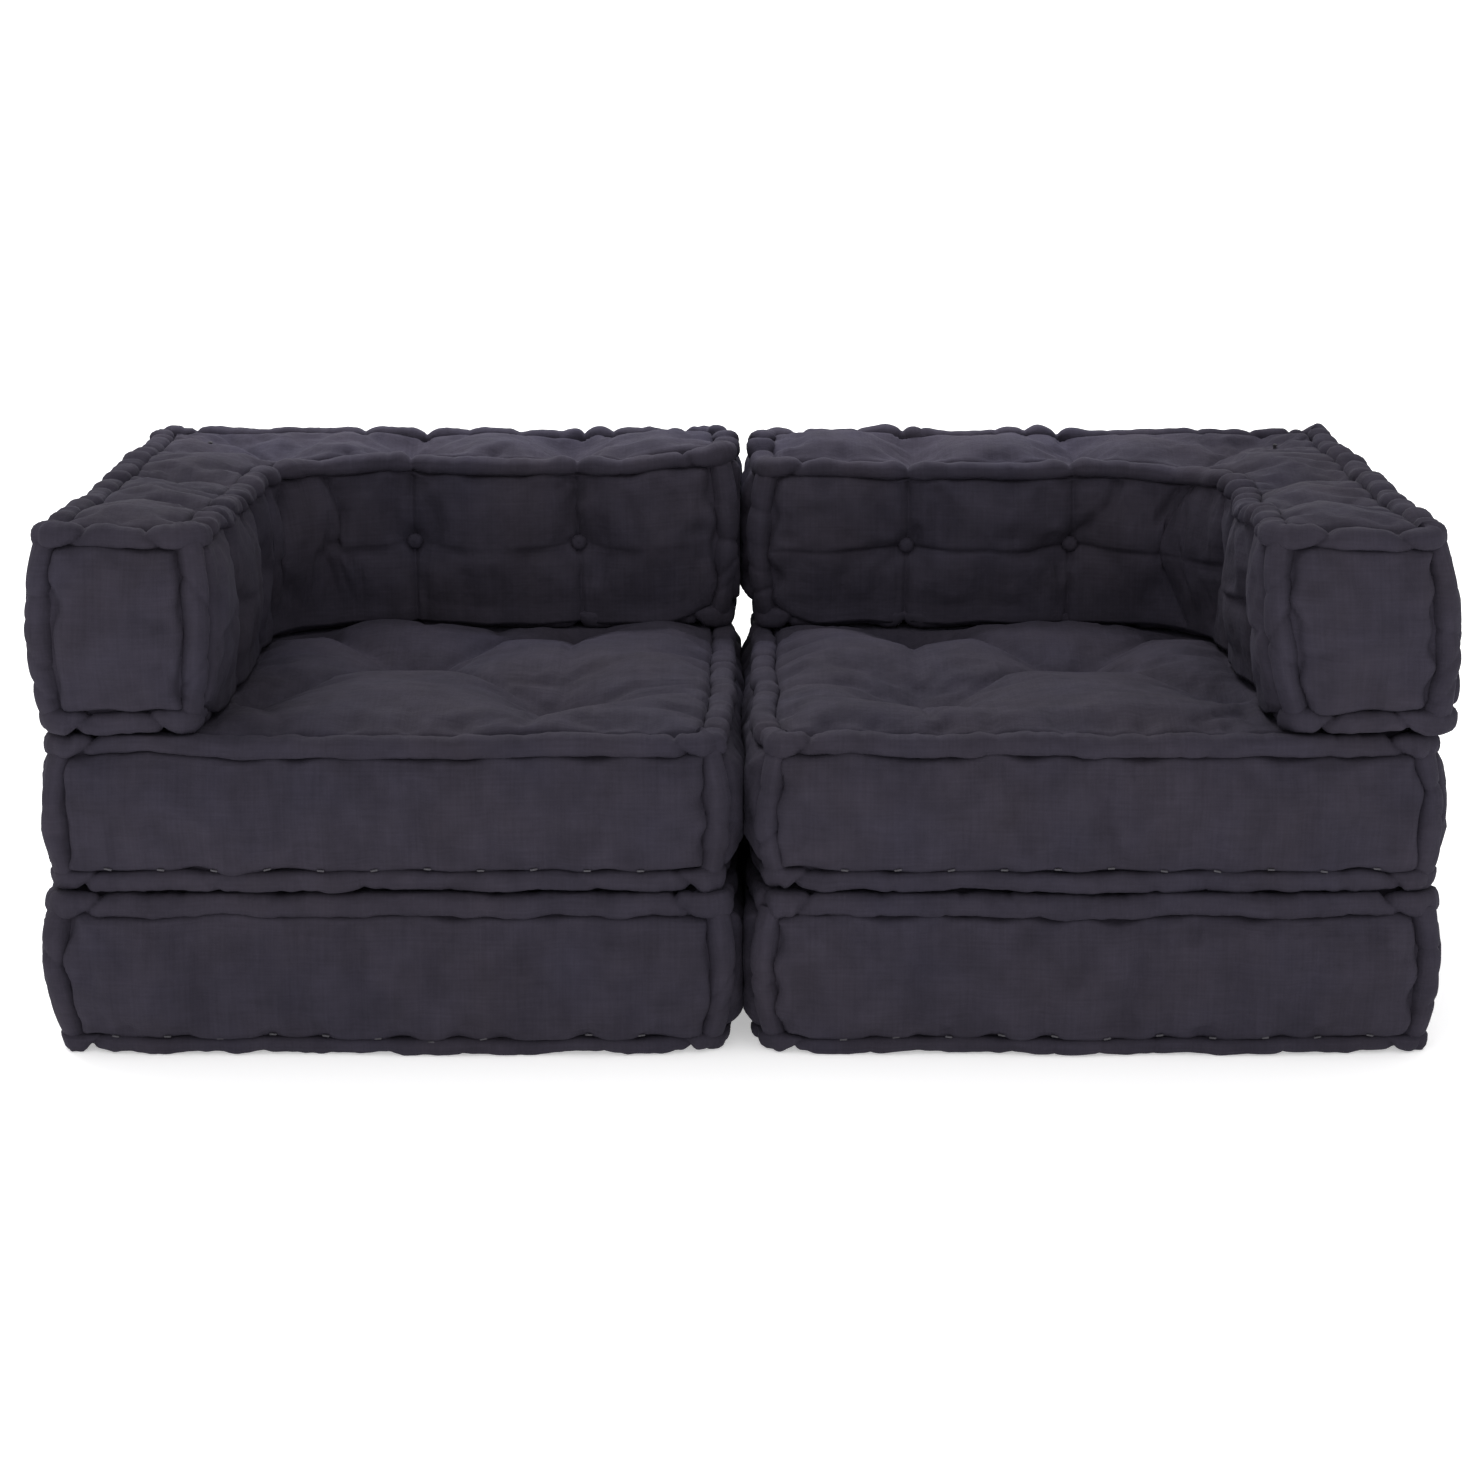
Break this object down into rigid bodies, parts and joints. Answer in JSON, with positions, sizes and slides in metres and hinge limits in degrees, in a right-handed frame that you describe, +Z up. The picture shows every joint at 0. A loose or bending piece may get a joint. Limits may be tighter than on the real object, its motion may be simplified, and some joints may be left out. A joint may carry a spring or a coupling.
{
  "type": "modular corner sofa",
  "caption": "Low floor sofa of mirrored corner modules: loose stacked cotton cushions with rolled edges, a tufted seat and a buttoned L-shaped back.",
  "frame": {"origin": "on the floor, under the middle of the pair of modules", "axes": "+X to the right as seen from the front, +Y to the rear, +Z up"},
  "size_m": [1.386, 0.69, 0.5366],
  "materials": {
    "cover_cloth": "matte cotton",
    "roll_cloth": "matte cotton",
    "button_cloth": "matte cotton",
    "stuffing": "loose cotton",
    "twine": "waxed cotton"
  },
  "bodies": {
    "left_base": {"left_base_cover": "cover_cloth", "left_base_filling": "stuffing", "left_base_bottom_roll": "roll_cloth", "left_base_top_roll": "roll_cloth", "left_base_corner_rolls": "roll_cloth", "left_base_tuft_ties": "twine"},
    "left_seat": {"left_seat_cover": "cover_cloth", "left_seat_filling": "stuffing", "left_seat_bottom_roll": "roll_cloth", "left_seat_top_roll": "roll_cloth", "left_seat_corner_rolls": "roll_cloth", "left_seat_tuft_ties": "twine"},
    "left_back": {"left_back_cover": "cover_cloth", "left_back_filling": "stuffing", "left_back_bottom_roll": "roll_cloth", "left_back_top_roll": "roll_cloth", "left_back_corner_rolls": "roll_cloth", "left_back_tuft_ties": "twine", "left_back_buttons": "button_cloth"},
    "right_base": {"right_base_cover": "cover_cloth", "right_base_filling": "stuffing", "right_base_bottom_roll": "roll_cloth", "right_base_top_roll": "roll_cloth", "right_base_corner_rolls": "roll_cloth", "right_base_tuft_ties": "twine"},
    "right_seat": {"right_seat_cover": "cover_cloth", "right_seat_filling": "stuffing", "right_seat_bottom_roll": "roll_cloth", "right_seat_top_roll": "roll_cloth", "right_seat_corner_rolls": "roll_cloth", "right_seat_tuft_ties": "twine"},
    "right_back": {"right_back_cover": "cover_cloth", "right_back_filling": "stuffing", "right_back_bottom_roll": "roll_cloth", "right_back_top_roll": "roll_cloth", "right_back_corner_rolls": "roll_cloth", "right_back_tuft_ties": "twine", "right_back_buttons": "button_cloth"}
  },
  "joints": [
    {"name": "left_seat_lift", "type": "slide", "parent": "left_base", "child": "left_seat", "axis": [0, 0, 1], "range_m": [0, 0.25]},
    {"name": "left_back_lift", "type": "slide", "parent": "left_seat", "child": "left_back", "axis": [0, 0, 1], "range_m": [0, 0.3]},
    {"name": "right_seat_lift", "type": "slide", "parent": "right_base", "child": "right_seat", "axis": [0, 0, 1], "range_m": [0, 0.25]},
    {"name": "right_back_lift", "type": "slide", "parent": "right_seat", "child": "right_back", "axis": [0, 0, 1], "range_m": [0, 0.3]},
    {"name": "right_module_slide", "type": "slide", "parent": "left_base", "child": "right_base", "axis": [1, 0, 0], "range_m": [0, 0.5]}
  ]
}
